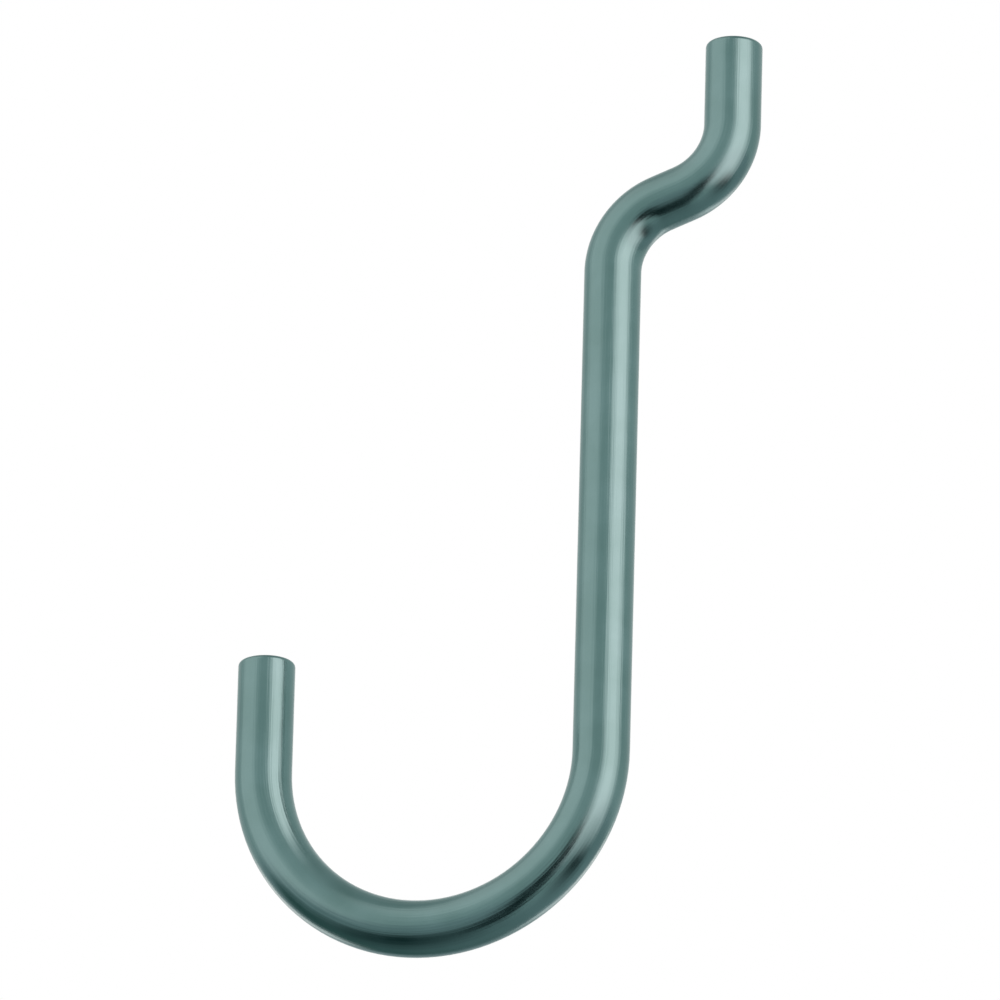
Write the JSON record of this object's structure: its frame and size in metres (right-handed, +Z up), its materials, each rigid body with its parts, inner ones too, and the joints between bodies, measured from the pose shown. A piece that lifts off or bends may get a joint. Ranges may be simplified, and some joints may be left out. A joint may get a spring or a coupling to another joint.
{
  "type": "pegboard hook",
  "caption": "J-shaped pegboard hook bent from one length of round zinc-plated steel wire, with an upturned peg that locks behind the board and a half-round cradle that hangs tools.",
  "frame": {"origin": "centre of the board's hole, on the board's front face, where the wire passes through", "axes": "+Z up along the peg and the shank, +Y into the board, -Y out of the board towards the user, X across the plane that the wire is bent in"},
  "size_m": [0.0058, 0.0527, 0.0941],
  "materials": {
    "zinc_plated_wire": "cold drawn wire with a bright, slightly blue-green zinc plate"
  },
  "bodies": {
    "root": {"wire_hook": "zinc_plated_wire"}
  },
  "joints": []
}
